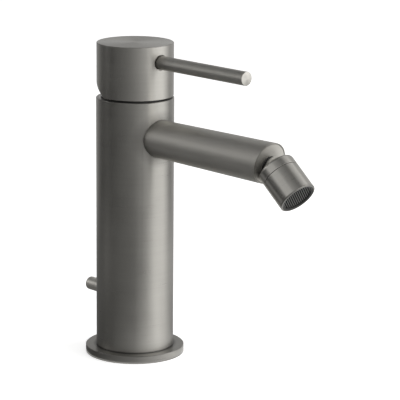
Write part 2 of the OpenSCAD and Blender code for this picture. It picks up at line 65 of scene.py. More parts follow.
# Radius of the smallest edges, and of the edges where the aerator's collar and housing meet
SMALL_EDGE = 0.1 * MM
JOINT_EDGE = 0.15 * MM
# Radius of the ribs' front edges in the aerator's insert
RIB_EDGE = 0.15 * MM
# A rounded edge has a segment for each length of this in its radius, from 2 to 10
SEGMENT = 0.12 * MM
# Faces that meet at more than this angle keep a sharp edge
SHARP_ANGLE = math.radians(40)
# The insert stands turned in the aerator, which spins freely, by the angle that the photograph shows
RIB_TURN = math.radians(45)

# CAD nodes that keep their solids, by what they are made of
BRASS_NODES = ("base_block", "valve_body", "cartridge_nut", "rocker_bracket", "stem", "rocker_fork")
STEEL_NODES = ("rocker_pin", "tilt_pin", "lift_rod", "lift_pin", "ball_neck", "grub_screw")
RUBBER_NODES = (
    "base_gasket", "valve_body_seal", "port_seals", "plug_seal", "aerator_gasket", "seat_gasket",
)
PLASTIC_NODES = ("cartridge_base", "cartridge_housing", "disc_carrier", "cartridge_rotor", "ball_seat")
CERAMIC_NODES = ("fixed_disc", "moving_disc")

# Painted light and shade: lit and shaded copies of the one brushed metal, how light it is on each piece as
# a share of its colour
PAINTED_LIGHT_TONES = {
    "column_metal": 1.0, "cap_metal": 1.06, "flange_metal": 0.75, "spout_metal": 1.42,
    "plug_metal": 1.4, "lever_metal": 1.3, "knob_metal": 2.1, "collar_metal": 1.45,
    "housing_metal": 1.45,
}
# Brush lines: how many times as long as wide, how fast they change round an axis, coarse to fine
LINE_LENGTH = 50.0
LINE_TURN = 1.3
LINE_COARSE = 0.12
# A worn corner's reach and how much lighter it is
WORN_REACH = 0.45 * MM
WORN_TONE = 1.22
# Painted shade of the groove round the spout's end face
GROOVE_SHADE_REACH = 0.45 * MM
GROOVE_SHADE_TONE = 0.4
# Nearly all values of a noise lie between these
NOISE_LOW = 0.3
NOISE_HIGH = 0.7


# Settings

class MixerSizes(bpy.types.PropertyGroup):
    """Sizes of the pieces that are modelled here"""

    ball: FloatVectorProperty(
        name="Ball centre", description="Centre of the swivel ball", subtype="XYZ",
        unit="LENGTH", default=(0.0, -116.142 * MM, 127.781 * MM), precision=5,
    )
    head_angle: FloatProperty(
        name="Aerator angle", description="Angle of the aerator below the horizontal",
        subtype="ANGLE", unit="ROTATION", default=math.radians(39.5),
    )
    head_radius: FloatProperty(
        name="Aerator radius", description="Outer radius of collar and housing",
        unit="LENGTH", default=10.75 * MM, precision=5,
    )
    mouth: FloatProperty(
        name="Mouth", description="Distance from the ball's centre to the aerator's mouth",
        unit="LENGTH", default=20.9 * MM, precision=5,
    )
    collar_round: FloatProperty(
        name="Collar rounding", description="Radius of the collar's rounded rear edge",
        unit="LENGTH", default=1.99 * MM, precision=5,
    )
    mouth_round: FloatProperty(
        name="Mouth rounding", description="Radius of the housing's rounded mouth edge",
        unit="LENGTH", default=0.6 * MM, precision=5,
    )
    rib_pitch: FloatProperty(
        name="Rib pitch", description="Spacing of the ribs in the aerator's insert",
        unit="LENGTH", default=1.15 * MM, precision=5,
    )
    rib_width: FloatProperty(
        name="Rib width", description="Thickness of one rib",
        unit="LENGTH", default=0.5 * MM, precision=5,
    )
    edge_round: FloatProperty(
        name="Edge rounding", description="Radius of the small rounded edges",
        unit="LENGTH", default=0.3 * MM, precision=5,
    )
    knob_round: FloatProperty(
        name="Knob rounding", description="Radius of the rounded edge of the knob's end",
        unit="LENGTH", default=0.8 * MM, precision=5,
    )


class MixerFinish(bpy.types.PropertyGroup):
    """Colours and surface of the finishes"""

    metal: FloatVectorProperty(
        name="Brushed metal", description="Colour of the brushed metal", subtype="COLOR",
        default=(0.335, 0.327, 0.308), min=0.0, max=1.0,
    )
    metal_roughness: FloatProperty(
        name="Turned roughness", description="Mean roughness of the metal brushed on the lathe",
        subtype="FACTOR", default=0.3, min=0.0, max=1.0,
    )
    metal_stretch: FloatProperty(
        name="Turned brushing", description="How far brushing on the lathe stretches the reflections",
        subtype="FACTOR", default=0.3, min=0.0, max=1.0,
    )
    tall_stretch: FloatProperty(
        name="Column brushing", description="The same for the column and the cap",
        subtype="FACTOR", default=0.75, min=0.0, max=1.0,
    )
    face_roughness: FloatProperty(
        name="End face roughness", description="Mean roughness of the spout's end face",
        subtype="FACTOR", default=0.5, min=0.0, max=1.0,
    )
    long_roughness: FloatProperty(
        name="Long roughness", description="Mean roughness of the metal brushed along its length",
        subtype="FACTOR", default=0.4, min=0.0, max=1.0,
    )
    long_stretch: FloatProperty(
        name="Long brushing", description="How far brushing along the length stretches the reflections",
        subtype="FACTOR", default=0.75, min=0.0, max=1.0,
    )
    grain: FloatProperty(
        name="Grain pitch", description="Mean spacing of the brush lines",
        unit="LENGTH", default=0.22 * MM, precision=5,
    )
    bright: FloatVectorProperty(
        name="Bright ring", description="Colour of the polished ring under the cap",
        subtype="COLOR", default=(0.62, 0.62, 0.61), min=0.0, max=1.0,
    )
    brass: FloatVectorProperty(
        name="Brass", description="Colour of the bare brass inside", subtype="COLOR",
        default=(0.62, 0.45, 0.20), min=0.0, max=1.0,
    )
    steel: FloatVectorProperty(
        name="Steel", description="Colour of pins, screws and the ball", subtype="COLOR",
        default=(0.52, 0.52, 0.51), min=0.0, max=1.0,
    )
    rubber: FloatVectorProperty(
        name="Rubber", description="Colour of the seals", subtype="COLOR",
        default=(0.018, 0.018, 0.018), min=0.0, max=1.0,
    )
    black: FloatVectorProperty(
        name="Black plastic", description="Colour of the insert, the neck ring and the screw cover",
        subtype="COLOR", default=(0.022, 0.022, 0.021), min=0.0, max=1.0,
    )
    ivory: FloatVectorProperty(
        name="Cartridge plastic", description="Colour of the cartridge's mouldings",
        subtype="COLOR", default=(0.70, 0.69, 0.63), min=0.0, max=1.0,
    )
    ceramic: FloatVectorProperty(
        name="Ceramic", description="Colour of the two ceramic discs", subtype="COLOR",
        default=(0.46, 0.47, 0.50), min=0.0, max=1.0,
    )


class StudioSettings(bpy.types.PropertyGroup):
    """Floor, lamps, cards and camera"""

    floor: FloatVectorProperty(
        name="Floor", description="Colour of the floor", subtype="COLOR",
        default=(0.92, 0.92, 0.915), min=0.0, max=1.0,
    )
    floor_glow: FloatProperty(
        name="Floor white", description="White that the floor adds towards the camera and in reflections",
        default=0.5, min=0.0, max=1.0,
    )
    room: FloatProperty(
        name="Room light", description="Strength of the soft light from all around",
        default=0.55, min=0.0,
    )
    key: FloatProperty(
        name="Key softbox", description="Power of the large softbox at the right",
        unit="POWER", default=7.4, min=0.0,
    )
    top: FloatProperty(
        name="Top softbox", description="Power of the softbox above",
        unit="POWER", default=2.0, min=0.0,
    )
    lens: FloatProperty(
        name="Lens", description="Focal length on a sensor 36 mm wide",
        subtype="DISTANCE_CAMERA", default=200.855,
    )
    steps: IntProperty(
        name="Steps", description="Steps round each studio card", default=72, min=12,
    )


def settings():
    """The scene's sizes, finishes and studio settings."""
    scene = bpy.context.scene
    return scene.mixer_sizes, scene.mixer_finish, scene.mixer_studio


# Modelling helpers

def frame_matrix(origin, angle):
    """A turned piece's frame: origin, and the angle that tips +Z about X towards -Y."""
    return Matrix.Translation(Vector(origin)) @ Matrix.Rotation(angle, 4, "X")


def level_node(name, angle):
    """Radius, length and frame of a CAD node that is turned round a level axis towards -Y or +Y."""
    low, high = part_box(name)
    root = high.y if angle > 0 else low.y
    matrix = frame_matrix((0.0, root, (low.z + high.z) / 2), angle)
    return (high.x - low.x) / 2, high.y - low.y, matrix


def head_matrix():
    """The aerator's frame: its origin is the ball's centre, and +Z points out of its mouth."""
    sizes = settings()[0]
    return frame_matrix(sizes.ball, QUARTER + sizes.head_angle)


def ring_edges(bm, radius, height):
    """The edges of the ring that a spun profile's corner left."""
    near = 0.001 * MM

    def on_ring(vert):
        near_r = abs(math.hypot(vert.co.x, vert.co.y) - radius) < near
        return near_r and abs(vert.co.z - height) < near

    return [e for e in bm.edges if on_ring(e.verts[0]) and on_ring(e.verts[1])]


def round_edges(bm, edges, radius):
    """Rounds some edges of a piece."""
    bmesh.ops.bevel(
        bm, geom=edges, offset=radius, offset_type="OFFSET",
        segments=max(2, min(10, round(radius / SEGMENT))), profile=0.5, affect="EDGES",
        clamp_overlap=True, material=-1,
    )


def lathe(bm, profile, steps=AROUND):
    """Spins a profile of (radius, height, rounding) round Z; one that starts on the axis ends there."""
    verts = [bm.verts.new((r, 0.0, z)) for r, z, _ in profile]
    edges = [bm.edges.new(pair) for pair in zip(verts, verts[1:])]
    if profile[0][0] > 0:
        edges.append(bm.edges.new((verts[-1], verts[0])))
    bmesh.ops.spin(
        bm, geom=verts + edges, cent=(0, 0, 0), axis=(0, 0, 1), angle=2 * math.pi,
        steps=steps, use_merge=True, use_duplicate=False,
    )
    bmesh.ops.remove_doubles(bm, verts=bm.verts, dist=0.0001 * MM)
    bmesh.ops.recalc_face_normals(bm, faces=bm.faces)
    for r, z, rounding in profile:
        if rounding > 0:
            round_edges(bm, ring_edges(bm, r, z), rounding)


def make_piece(name, bm, matrix, material, body, replaced):
    """Turns a bmesh into a finished piece in the row frame."""
    bmesh.ops.transform(bm, matrix=matrix, verts=bm.verts)
    bmesh.ops.recalc_face_normals(bm, faces=bm.faces)
    mesh = bpy.data.meshes.new(name)
    bm.to_mesh(mesh)
    bm.free()
    mesh.shade_smooth()
    mesh.set_sharp_from_angle(angle=SHARP_ANGLE)
    mesh.materials.append(material)
    piece = bpy.data.objects.new(name, mesh)
    bpy.context.scene.collection.objects.link(piece)
    modifier = piece.modifiers.new("Flat faces stay flat", "WEIGHTED_NORMAL")
    modifier.keep_sharp = True
    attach(piece, body)
    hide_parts(*replaced)


def dress(names, material):
    """Gives CAD nodes a material of their own."""
    for name in names:
        slots = NODES[name].data.materials
        slots.clear()
        slots.append(material)


# Material helpers

class Sheet:
    """A material's node tree, with short calls to add and join nodes."""

    def __init__(self, name):
        self.material = bpy.data.materials.new(name)
        self.material.use_nodes = True
        self.tree = self.material.node_tree
        self.shader = self.tree.nodes["Principled BSDF"]

    def add(self, kind, settings=(), **inputs):
        """Adds a node; settings are its own options, inputs are socket names."""
        node = self.tree.nodes.new(kind)
        for key, value in dict(settings).items():
            setattr(node, key, value)
        for key, value in inputs.items():
            self.put(node.inputs[key.replace("_", " ")], value)
        return node

    def put(self, socket, value):
        """Sets a socket, or links it where the value is another node's output."""
        if isinstance(value, bpy.types.NodeSocket):
            self.tree.links.new(value, socket)
        else:
            socket.default_value = value

    def math(self, operation, a, b=0.0):
        """One sum on two values."""
        node = self.add("ShaderNodeMath", {"operation": operation})
        self.put(node.inputs[0], a)
        self.put(node.inputs[1], b)
        return node.outputs[0]

    def vector(self, operation, a, b=(0.0, 0.0, 0.0)):
        """One sum on two vectors."""
        node = self.add("ShaderNodeVectorMath", {"operation": operation})
        self.put(node.inputs[0], a)
        self.put(node.inputs[1], b)
        return node.outputs["Value" if operation in ("LENGTH", "DOT_PRODUCT") else "Vector"]

    def where(self):
        """The position on the object, which is the position in the frame."""
        return self.add("ShaderNodeTexCoord").outputs["Object"]

    def turned(self, where, matrix):
        """The position in a piece's own frame, its part across the axis, radius and height."""
        local = self.add(
            "ShaderNodeMapping", {"vector_type": "TEXTURE"}, Vector=where,
            Location=matrix.to_translation(), Rotation=matrix.to_euler(),
        ).outputs["Vector"]
        flat = self.vector("MULTIPLY", local, (1.0, 1.0, 0.0))
        height = self.vector("DOT_PRODUCT", local, (0.0, 0.0, 1.0))
        return local, flat, self.vector("LENGTH", flat), height

    def noise(self, vector, scale, detail=2.0, roughness=0.5, w=None):
        """A noise on three values, or on four where w is given."""
        node = self.add(
            "ShaderNodeTexNoise", {"noise_dimensions": "3D" if w is None else "4D"},
            Vector=vector, Scale=scale, Detail=detail, Roughness=roughness,
        )
        if w is not None:
            self.put(node.inputs["W"], w)
        return node.outputs["Fac"]

    def span(self, value, low, high, start=NOISE_LOW, end=NOISE_HIGH):
        """Maps start to end, or else the middle of a noise, to the range low to high."""
        node = self.add("ShaderNodeMapRange", {"clamp": True}, Value=value)
        node.inputs["From Min"].default_value = start
        node.inputs["From Max"].default_value = end
        node.inputs["To Min"].default_value = low
        node.inputs["To Max"].default_value = high
        return node.outputs["Result"]

    def vary(self, value, middle, swing):
        """A number that a noise moves by at most the swing to either side."""
        return self.span(value, middle - swing, middle + swing)

    def tint(self, colour, value):
        """A colour made darker or lighter by a value round 1."""
        node = self.add("ShaderNodeVectorMath", {"operation": "SCALE"})
        node.inputs[0].default_value = colour[:3]
        self.put(node.inputs["Scale"], value)
        return node.outputs["Vector"]

    def corner(self, radius, height, place, reach, value):
        """A factor that is value at the turned corner at place and 1 beyond its reach."""
        here = self.add("ShaderNodeCombineXYZ", X=radius, Y=height).outputs["Vector"]
        away = self.vector("SUBTRACT", here, (*place, 0.0))
        return self.span(self.vector("LENGTH", away), value, 1.0, 0.0, reach)

    def root(self, where, height, radius, reach, value):
        """A factor of painted shade that is value on the wall round a pipe towards -Y and 1 beyond its
        reach.
        """
        away = self.vector("SUBTRACT", where, (0.0, 0.0, height))
        away = self.vector("MULTIPLY", away, (1.0, 0.0, 1.0))
        gap = self.math("SUBTRACT", self.vector("LENGTH", away), radius)
        behind = self.math("GREATER_THAN", self.vector("DOT_PRODUCT", where, (0.0, 1.0, 0.0)), 0.0)
        return self.math("MAXIMUM", self.span(gap, value, 1.0, 0.0, reach), behind)

    def bump(self, height, strength, distance):
        """The normal of a surface that a noise raises by a distance."""
        node = self.add("ShaderNodeBump", Strength=strength, Distance=distance, Height=height)
        return node.outputs["Normal"]

    def finish(self, **inputs):
        """Sets the shader's sockets and returns the material."""
        for key, value in inputs.items():
            self.put(self.shader.inputs[key.replace("_", " ")], value)
        return self.material


def brush_lines(sheet, local, outward, radius, height, along):
    """Fine and coarse noise in lines that run round a turned piece's axis, or along it."""
    pace = 1.0 / settings()[1].grain
    if along:
        lines = sheet.vector("MULTIPLY", local, (pace, pace, pace / LINE_LENGTH))
        round_y = None
    else:
        across = sheet.math("MULTIPLY", radius, pace)
        up = sheet.math("MULTIPLY", height, pace)
        round_x = sheet.vector("DOT_PRODUCT", outward, (LINE_TURN, 0.0, 0.0))
        round_y = sheet.vector("DOT_PRODUCT", outward, (0.0, LINE_TURN, 0.0))
        lines = sheet.add("ShaderNodeCombineXYZ", X=across, Y=up, Z=round_x).outputs["Vector"]
    fine = sheet.noise(lines, 1.0, detail=3.0, roughness=0.6, w=round_y)
    return fine, sheet.noise(lines, LINE_COARSE, w=round_y)


def brush_tangent(sheet, outward, turn):
    """The direction round the axis, which the shader's anisotropy goes by."""
    around = sheet.vector("CROSS_PRODUCT", (0.0, 0.0, 1.0), outward)
    tangent = sheet.add(
        "ShaderNodeMapping", {"vector_type": "VECTOR"}, Vector=around, Rotation=turn,
    ).outputs["Vector"]
    return sheet.add(
        "ShaderNodeVectorTransform",
        {"vector_type": "VECTOR", "convert_from": "OBJECT", "convert_to": "WORLD"}, Vector=tangent,
    ).outputs["Vector"]


def brushed(name, matrix, along=False, rough=None, stretch=None, worn=(), dark_lines=(), root_shades=(),
            groove_shade=None):
    """The mixer's metal, its fine lines round the axis of the frame in matrix, or along it.

    Worn corners, given as (radius, height), are rubbed bright. Dark lines, given as (radius,
    height, reach, tone), darken the surface towards a corner; where parts meet or in a recess
    this is painted shade. Root shades, given as (height, radius, reach, tone), are painted shade
    on the wall round where a pipe leaves it. The groove shade is the radius of a line of painted shade
    round an end face.
    """
    look = settings()[1]
    if rough is None:
        rough = look.long_roughness if along else look.metal_roughness
    if stretch is None:
        stretch = look.long_stretch if along else look.metal_stretch
    sheet = Sheet(name)
    where = sheet.where()
    local, flat, radius, height = sheet.turned(where, matrix)
    outward = sheet.vector("NORMALIZE", flat)
    fine, coarse = brush_lines(sheet, local, outward, radius, height, along)
    cloud = sheet.noise(where, 55.0, detail=3.0)
    factors = [sheet.vary(cloud, 1.0, 0.025), sheet.vary(coarse, 1.0, 0.02)]
    factors += [sheet.corner(radius, height, place, WORN_REACH, WORN_TONE) for place in worn]
    # Painted shade towards joints, recesses and pipe roots, and round the end face's groove
    factors += [sheet.corner(radius, height, dark_line[:2], *dark_line[2:]) for dark_line in dark_lines]
    factors += [sheet.root(where, *root) for root in root_shades]
    if groove_shade:
        factors.append(sheet.span(radius, 1.0, GROOVE_SHADE_TONE, groove_shade - GROOVE_SHADE_REACH, groove_shade))
    shade = sheet.vary(fine, 1.0, 0.025)
    for factor in factors:
        shade = sheet.math("MULTIPLY", shade, factor)
    roughness = sheet.math("ADD", sheet.vary(fine, rough, 0.025), sheet.vary(cloud, 0.0, 0.012))
    return sheet.finish(
        Base_Color=sheet.tint([PAINTED_LIGHT_TONES[name] * part for part in look.metal], shade), Metallic=1.0,
        Roughness=roughness, Anisotropic=stretch, Anisotropic_Rotation=0.0 if along else 0.25,
        Tangent=brush_tangent(sheet, outward, matrix.to_euler()),
        Normal=sheet.bump(fine, strength=0.16, distance=0.02 * MM),
    )


def plain_metal(name, colour, roughness):
    """Machined metal seen only in gaps: faint stains and tool marks."""
    sheet = Sheet(name)
    where = sheet.where()
    cloud = sheet.noise(where, 90.0, detail=4.0, roughness=0.6)
    marks = sheet.noise(where, 2400.0)
    return sheet.finish(
        Base_Color=sheet.tint(colour, sheet.vary(cloud, 1.0, 0.06)), Metallic=1.0,
        Roughness=sheet.vary(cloud, roughness, 0.05),
        Normal=sheet.bump(marks, strength=0.2, distance=0.01 * MM),
    )


def ringed_metal(name, colour, roughness, height):
    """Polished metal that is black below a height, where the gap round it keeps the light out."""
    sheet = Sheet(name)
    where = sheet.where()
    cloud = sheet.noise(where, 90.0, detail=3.0)
    rise = sheet.vector("DOT_PRODUCT", where, (0.0, 0.0, 1.0))
    open_part = sheet.span(rise, 0.06, 1.0, height - 0.2 * MM, height + 0.2 * MM)
    shade = sheet.math("MULTIPLY", open_part, sheet.vary(cloud, 1.0, 0.03))
    return sheet.finish(
        Base_Color=sheet.tint(colour, shade), Metallic=1.0,
        Roughness=sheet.span(cloud, roughness - 0.02, roughness + 0.03),
        Normal=sheet.bump(cloud, strength=0.1, distance=0.01 * MM),
    )


def moulded(sheet, where, colour, roughness, grain, depth, shade=None):
    """A moulded skin: a fine grain and faint changes of shade, times a shade of its own."""
    cloud = sheet.vary(sheet.noise(where, 120.0, detail=3.0), 1.0, 0.08)
    skin = sheet.noise(where, grain, detail=3.0)
    return sheet.finish(
        Base_Color=sheet.tint(colour, cloud if shade is None else sheet.math("MULTIPLY", shade, cloud)),
        Metallic=0.0, Roughness=sheet.vary(skin, roughness, 0.06),
        Normal=sheet.bump(skin, strength=0.35, distance=depth),
    )


def moulding(name, colour, roughness, grain, depth):
    """Rubber, plastic or ceramic of one shade."""
    sheet = Sheet(name)
    return moulded(sheet, sheet.where(), colour, roughness, grain, depth)


def ribbed_plastic(name, colour, roughness, matrix, front, inner):
    """The insert's plastic: black, with painted light on the fronts of its ribs and painted shade deeper
    in the cup and where the ribs meet its wall.
    """
    sheet = Sheet(name)
    where = sheet.where()
    _, _, radius, height = sheet.turned(where, matrix)
    # Painted light on the rib fronts, painted shade deeper in the cup and towards its wall
    lit_rib_fronts = sheet.span(height, 0.15, 3.0, front - 0.12 * MM, front - 0.03 * MM)
    shade = sheet.math("MINIMUM", lit_rib_fronts, sheet.span(radius, 3.0, 0.35, inner - 0.3 * MM, inner))
    return moulded(sheet, where, colour, roughness, grain=2200.0, depth=0.006 * MM, shade=shade)


# Pieces

class DressColumn(bpy.types.Operator):
    """Brushes the column, the cap and the flange round the column's axis"""

    bl_idname = "mixer.dress_column"
    bl_label = "Column, cap and flange"

    def execute(self, context):
        look = settings()[1]
        column, cap, flange = (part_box(name)[1] for name in ("column_tube", "handle_cap", "base_flange"))
        axis = Matrix.Identity(4)
        # Painted shade on the column's foot and the flange round it, on the column's top in the gap under
        # the cap, and round the spout's root
        foot_shade = (column.x, flange.z, 0.9 * MM, 0.3)
        cap_gap_shade = (column.x - 1.1 * MM, column.z, 0.9 * MM, 0.3)
        flange_shade = (column.x, flange.z, 2.2 * MM, 0.15)
        low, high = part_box("spout_tube")
        spout = (low.z + high.z) / 2, (high.z - low.z) / 2 - SPOUT_FLARE
        wide_root_shade, close_root_shade = (*spout, 6.0 * MM, 0.62), (*spout, 0.5 * MM, 0.6)
        dress(("column_tube",), brushed(
            "column_metal", axis, stretch=look.tall_stretch, worn=[(column.x, column.z)],
            dark_lines=[foot_shade, cap_gap_shade], root_shades=[wide_root_shade, close_root_shade],
        ))
        dress(("handle_cap",), brushed(
            "cap_metal", axis, stretch=look.tall_stretch, worn=[(cap.x, cap.z)],
        ))
        dress(("base_flange",), brushed(
            "flange_metal", axis, worn=[(flange.x, flange.z)], dark_lines=[flange_shade],
        ))
        return {"FINISHED"}


class DressSpout(bpy.types.Operator):
    """Brushes the spout and its end plug round the spout's axis"""

    bl_idname = "mixer.dress_spout"
    bl_label = "Spout"

    def execute(self, context):
        low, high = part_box("spout_tube")
        matrix = frame_matrix((low + high) / 2, QUARTER)
        dress(("spout_tube",), brushed("spout_metal", matrix, along=True))
        low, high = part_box("spout_plug")
        # The end plug's face gets a line of painted shade at its rim, where the groove is
        dress(("spout_plug",), brushed(
            "plug_metal", matrix, rough=settings()[1].face_roughness, stretch=0.0,
            groove_shade=(high.x - low.x) / 2,
        ))
        return {"FINISHED"}


class DressInside(bpy.types.Operator):
    """Gives the inner pieces their brass, steel, rubber, plastic and ceramic"""

    bl_idname = "mixer.dress_inside"
    bl_label = "Inner pieces"

    def execute(self, context):
        look = settings()[1]
        dress(BRASS_NODES, plain_metal("turned_brass", look.brass, roughness=0.34))
        dress(STEEL_NODES, plain_metal("drawn_steel", look.steel, roughness=0.28))
        cap_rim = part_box("handle_cap")[0].z
        ring = ringed_metal("polished_ring", look.bright, roughness=0.22, height=cap_rim)
        dress(("dome_ring",), ring)
        rubber = moulding("seal_rubber", look.rubber, roughness=0.72, grain=3000.0, depth=0.02 * MM)
        dress(RUBBER_NODES, rubber)
        plastic = moulding("cartridge_plastic", look.ivory, roughness=0.45, grain=1800.0,
                           depth=0.01 * MM)
        dress(PLASTIC_NODES, plastic)
        ceramic = moulding("disc_ceramic", look.ceramic, roughness=0.22, grain=4000.0,
                           depth=0.003 * MM)
        dress(CERAMIC_NODES, ceramic)
        return {"FINISHED"}


class AddLever(bpy.types.Operator):
    """Turns the straight lever rod with its small rounded edges"""

    bl_idname = "mixer.add_lever"
    bl_label = "Lever"

    def execute(self, context):
        sizes = settings()[0]
        radius, length, matrix = level_node("lever_rod", QUARTER)
        bm = bmesh.new()
        lathe(bm, [(0, 0, 0), (radius, 0, SMALL_EDGE), (radius, length, sizes.edge_round), (0, length, 0)])
        metal = brushed("lever_metal", matrix, along=True, worn=[(radius, length)])
        make_piece("lever_pin", bm, matrix, metal, "handle", ["lever_rod"])
        return {"FINISHED"}


class AddKnob(bpy.types.Operator):
    """Turns the rear pop-up knob with its rounded end"""

    bl_idname = "mixer.add_knob"
    bl_label = "Pop-up knob"

    def execute(self, context):
        sizes = settings()[0]
        radius, length, matrix = level_node("popup_knob", -QUARTER)
        bore, depth = 1.5 * MM, 5.95 * MM
        bm = bmesh.new()
        lathe(bm, [(0, depth, 0), (bore, depth, 0), (bore, 0, 0), (radius, 0, SMALL_EDGE),
                   (radius, length, sizes.knob_round), (0, length, 0)])
        metal = brushed("knob_metal", matrix, rough=0.42, stretch=0.0, worn=[(radius, length)])
        make_piece("knob_pull", bm, matrix, metal, "rocker", ["popup_knob"])
        return {"FINISHED"}


class AddScrewCover(bpy.types.Operator):
    """Moulds the small cover of the grub screw at the back of the cap"""

    bl_idname = "mixer.add_screw_cover"
    bl_label = "Screw cover"

    def execute(self, context):
        look = settings()[1]
        radius, length, matrix = level_node("screw_cover", -QUARTER)
        dent_edge, dent_floor, dent_depth = 0.7 * MM, 0.5 * MM, 0.4 * MM
        bm = bmesh.new()
        lathe(bm, [(0, 0, 0), (radius, 0, 0), (radius, length, 0.35 * MM),
                   (dent_edge, length, SMALL_EDGE), (dent_floor, length - dent_depth, 0),
                   (0, length - dent_depth, 0)], AROUND_SMALL)
        plastic = moulding("cover_plastic", look.black, roughness=0.4, grain=2500.0,
                           depth=0.006 * MM)
        make_piece("cover_plug", bm, matrix, plastic, "handle", ["screw_cover"])
        return {"FINISHED"}


class AddNeckRing(bpy.types.Operator):
    """Moulds the black ring that seals the ball's neck in the spout's end"""

    bl_idname = "mixer.add_neck_ring"
    bl_label = "Neck ring"

    def execute(self, context):
        look = settings()[1]
        matrix = frame_matrix((0.0, -109.987 * MM, 129.123 * MM), QUARTER + math.radians(12.3))
        inner, outer, back, front = 3.98 * MM, 5.12 * MM, -2.9 * MM, 0.3 * MM
        bm = bmesh.new()
        lathe(bm, [(inner, back, 0), (outer, back, 0), (outer, front, 0.35 * MM),
                   (inner, front, 0.25 * MM)], AROUND_SMALL)
        rubber = moulding("ring_rubber", look.black, roughness=0.55, grain=2600.0, depth=0.01 * MM)
        make_piece("neck_seal", bm, matrix, rubber, "swivel_ring", ["neck_ring"])
        return {"FINISHED"}


class AddCollar(bpy.types.Operator):
    """Turns the aerator's collar, rounded at the back, with the socket of the ball"""

    bl_idname = "mixer.add_collar"
    bl_label = "Aerator collar"

    def execute(self, context):
        sizes = settings()[0]
        outer, back, front = sizes.head_radius, -2.2 * MM, 4.05 * MM
        thread, thread_end = 9.5 * MM, 9.6 * MM
        socket, throat, socket_end = 7.28 * MM, 8.2 * MM, 0.2 * MM
        levels = (socket_end, -0.4 * MM, -1.0 * MM, -1.6 * MM, back)
        hollow = [(math.sqrt(socket ** 2 - z ** 2), z, 0) for z in levels]
        bm = bmesh.new()
        lathe(bm, [hollow[-1], (outer, back, sizes.collar_round), (outer, front, JOINT_EDGE),
                   (thread, front, 0), (thread, thread_end, 0), (throat, thread_end, 0),
                   (throat, socket_end, 0), *hollow[:-1]])
        matrix = head_matrix()
        metal = brushed("collar_metal", matrix, worn=[(outer, front)])
        make_piece("collar_shell", bm, matrix, metal, "aerator", ["aerator_collar"])
        return {"FINISHED"}


class AddHousing(bpy.types.Operator):
    """Turns the aerator's housing with its rounded mouth"""

    bl_idname = "mixer.add_housing"
    bl_label = "Aerator housing"

    def execute(self, context):
        sizes = settings()[0]
        outer, back, mouth = sizes.head_radius, 4.35 * MM, sizes.mouth
        thread, bore = 9.6 * MM, 9.7 * MM
        web, web_back, web_front = 6.0 * MM, 9.9 * MM, 11.4 * MM
        bm = bmesh.new()
        lathe(bm, [(thread, back, 0), (outer, back, JOINT_EDGE), (outer, mouth, sizes.mouth_round),
                   (bore, mouth, 0.2 * MM), (bore, web_front, 0), (web, web_front, 0),
                   (web, web_back, 0), (thread, web_back, 0)])
        matrix = head_matrix()
        # A darker line round the mouth's outer lip, and painted shade on the wall inside the mouth
        outer_line = (outer - 0.15 * MM, mouth - 0.15 * MM, 0.9 * MM, 0.25)
        mouth_shade = (bore + 0.1 * MM, mouth, 0.8 * MM, 0.08)
        metal = brushed("housing_metal", matrix, worn=[(outer, back)], dark_lines=[outer_line, mouth_shade])
        make_piece("housing_shell", bm, matrix, metal, "aerator", ["aerator_housing"])
        return {"FINISHED"}


class AddInsert(bpy.types.Operator):
    """Moulds the aerator's insert: a cup with a row of fine ribs across its mouth"""

    bl_idname = "mixer.add_insert"
    bl_label = "Aerator insert"

    def execute(self, context):
        sizes, look, _ = settings()
        outer, inner, hole = 9.6 * MM, 8.7 * MM, 2.2 * MM
        back, front, floor = 12.4 * MM, 20.6 * MM, 13.6 * MM
        rib_front, rib_depth = 20.0 * MM, 1.6 * MM
        lip = 0.2 * MM
        bm = bmesh.new()
        lathe(bm, [(hole, back, 0), (outer, back, 0), (outer, front, lip), (inner, front, lip),
                   (inner, floor, 0), (hole, floor, 0)], AROUND_INSERT)
        count = int(inner / sizes.rib_pitch)
        for index in range(-count, count + 1):
            offset = index * sizes.rib_pitch
            reach = math.sqrt(((outer + inner) / 2) ** 2 - offset ** 2)
            self.add_rib(bm, offset, reach, sizes.rib_width, rib_front - rib_depth, rib_depth)
        matrix = head_matrix()
        plastic = ribbed_plastic("insert_plastic", look.black, roughness=0.5, matrix=matrix,
                                 front=rib_front, inner=inner)
        make_piece("flow_insert", bm, matrix, plastic, "aerator", ["aerator_insert"])
        return {"FINISHED"}

    @staticmethod
    def add_rib(bm, offset, reach, width, low, depth):
        """One rib that runs from wall to wall, with its front edges rounded."""
        made = bmesh.ops.create_cube(bm, size=1.0)["verts"]
        size = Matrix.Diagonal((width, 2 * reach, depth, 1.0))
        place = Matrix.Rotation(RIB_TURN, 4, "Z") @ Matrix.Translation((offset, 0.0, low + depth / 2))
        bmesh.ops.transform(bm, matrix=place @ size, verts=made)
        top = low + depth - 0.001 * MM
        edges = {e for v in made for e in v.link_edges
                 if all(w.co.z > top for w in e.verts) and e.calc_length() > 2 * width}
        round_edges(bm, list(edges), RIB_EDGE)


# Studio

# The middle of the object's height, which the softboxes face
OBJECT_MIDDLE = Vector((0.0, 0.0, 0.09))
# The cards' warm white, and the attribute that holds how bright a card is along it
CARD_COLOUR = (1.0, 0.995, 0.98, 1.0)
CARD_LEVEL = "level"
# The camera that the photograph's outlines gave: metres and radians
CAMERA_PLACE = (-0.83406, -0.94804, 0.38299)
CAMERA_YAW = -0.7514
CAMERA_PITCH = 0.2274
CAMERA_ROLL = 0.0082


